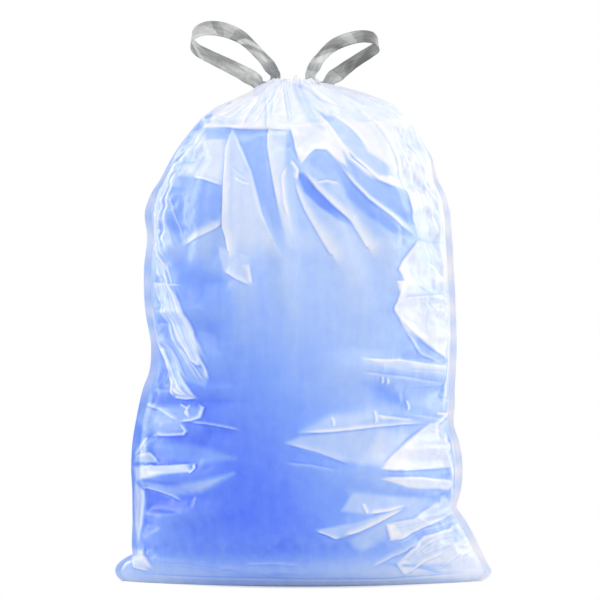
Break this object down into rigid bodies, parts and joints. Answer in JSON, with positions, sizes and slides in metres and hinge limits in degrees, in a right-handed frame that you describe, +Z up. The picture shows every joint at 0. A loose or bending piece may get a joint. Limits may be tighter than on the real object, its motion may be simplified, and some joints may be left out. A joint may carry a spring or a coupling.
{
  "type": "drawstring bin bag",
  "caption": "Filled film bin bag standing on a flat base, drawn shut and pleated at the top, with a flat draw-tape hand loop rising to each side of the neck.",
  "frame": {"origin": "on the floor, below the middle of the bag", "axes": "+Z up through the gathered neck, +X towards the right-hand loop, -Y towards the front"},
  "size_m": [0.5633, 0.3064, 0.8403],
  "materials": {
    "blue_film": "glossy, translucent light blue film, deep blue low down and pale at the top",
    "grey_tape": "satin grey film tape with soft creases"
  },
  "bodies": {
    "root": {"film_bag": "blue_film", "left_draw_tape": "grey_tape", "right_draw_tape": "grey_tape"}
  },
  "joints": []
}
